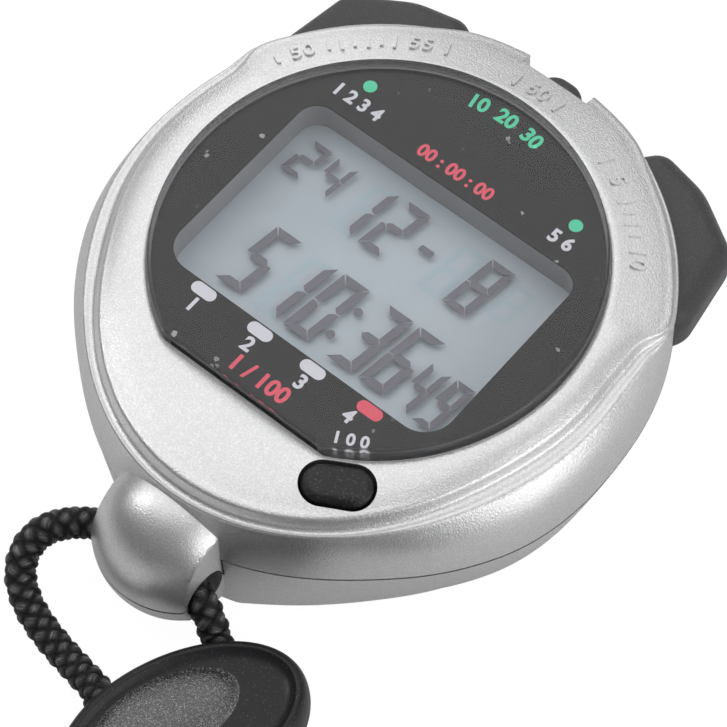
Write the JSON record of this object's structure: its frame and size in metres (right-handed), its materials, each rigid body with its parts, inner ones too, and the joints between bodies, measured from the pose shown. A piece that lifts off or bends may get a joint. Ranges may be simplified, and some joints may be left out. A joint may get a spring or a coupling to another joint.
{
  "type": "stopwatch",
  "caption": "Round hand-held digital stopwatch with push buttons, a display under a clear lens, a cord lug, and a neck cord with an oval clasp.",
  "frame": {"origin": "middle of the watch in plan, without its free cord, at the back face it lies on", "axes": "+Z from the back face to the lens, +Y towards the recall button at the top of the dial, -Y towards the cord lug, +X towards 3 o'clock"},
  "size_m": [0.1092, 0.125, 0.022],
  "materials": {
    "silver_plastic": "satin silver lacquer with a fine pebbled grain",
    "black_rubber": "matt, fine grain",
    "clear_acrylic": "clear and polished",
    "dark_print": "dark print on the back of the window",
    "display_glass": "grey display with darker digits",
    "white_plastic": "plain",
    "conductive_rubber": "plain",
    "board_green": "lacquered",
    "black_resin": "smooth",
    "steel": "plated",
    "brass": "plain",
    "clasp_plastic": "smooth rim and a grained pad",
    "black_braid": "round braid",
    "tie_strip": "plain"
  },
  "bodies": {
    "case": {"front_shell": "silver_plastic", "back_shell": "silver_plastic", "lens": "clear_acrylic", "dial_mask": "dark_print", "lcd_frame": "white_plastic", "lcd_glass": "display_glass", "upper_display_strip": "conductive_rubber", "lower_display_strip": "conductive_rubber", "circuit_board": "board_green", "chip_cover": "black_resin", "crystal": "steel", "battery": "steel", "battery_clip": "steel", "battery_contact": "brass", "sounder": "brass", "inner_sounder_spring": "steel", "outer_sounder_spring": "steel", "start_stop_contact": "steel", "lap_reset_contact": "steel", "recall_contact": "steel", "mode_dome": "conductive_rubber", "case_screw_1": "steel", "case_screw_2": "steel", "case_screw_3": "steel", "case_screw_4": "steel", "board_screw_1": "steel", "board_screw_2": "steel", "board_screw_3": "steel", "clasp_top": "clasp_plastic", "clasp_bottom": "clasp_plastic", "lug_cord": "black_braid", "neck_cord": "black_braid", "coil_tie": "tie_strip"},
    "start_stop_button": {"start_stop_button": "black_rubber"},
    "lap_reset_button": {"lap_reset_button": "black_rubber"},
    "recall_button": {"recall_button": "black_rubber"},
    "mode_button": {"mode_button": "black_rubber"}
  },
  "joints": [
    {"name": "start_stop_press", "type": "slide", "parent": "case", "child": "start_stop_button", "axis": [-0.6428, -0.766, 0], "range_m": [0, 0.0012], "stiffness_N_per_m": 1500, "springref_m": -0.0004, "deforming": ["start_stop_contact"]},
    {"name": "lap_reset_press", "type": "slide", "parent": "case", "child": "lap_reset_button", "axis": [0.6428, -0.766, 0], "range_m": [0, 0.0012], "stiffness_N_per_m": 1500, "springref_m": -0.0004, "deforming": ["lap_reset_contact"]},
    {"name": "recall_press", "type": "slide", "parent": "case", "child": "recall_button", "axis": [0, -1, 0], "range_m": [0, 0.001], "stiffness_N_per_m": 1500, "springref_m": -0.0004, "deforming": ["recall_contact"]},
    {"name": "mode_press", "type": "slide", "parent": "case", "child": "mode_button", "axis": [0, 0, -1], "range_m": [0, 0.0008], "stiffness_N_per_m": 1200, "springref_m": -0.0004, "deforming": ["mode_dome"]}
  ]
}
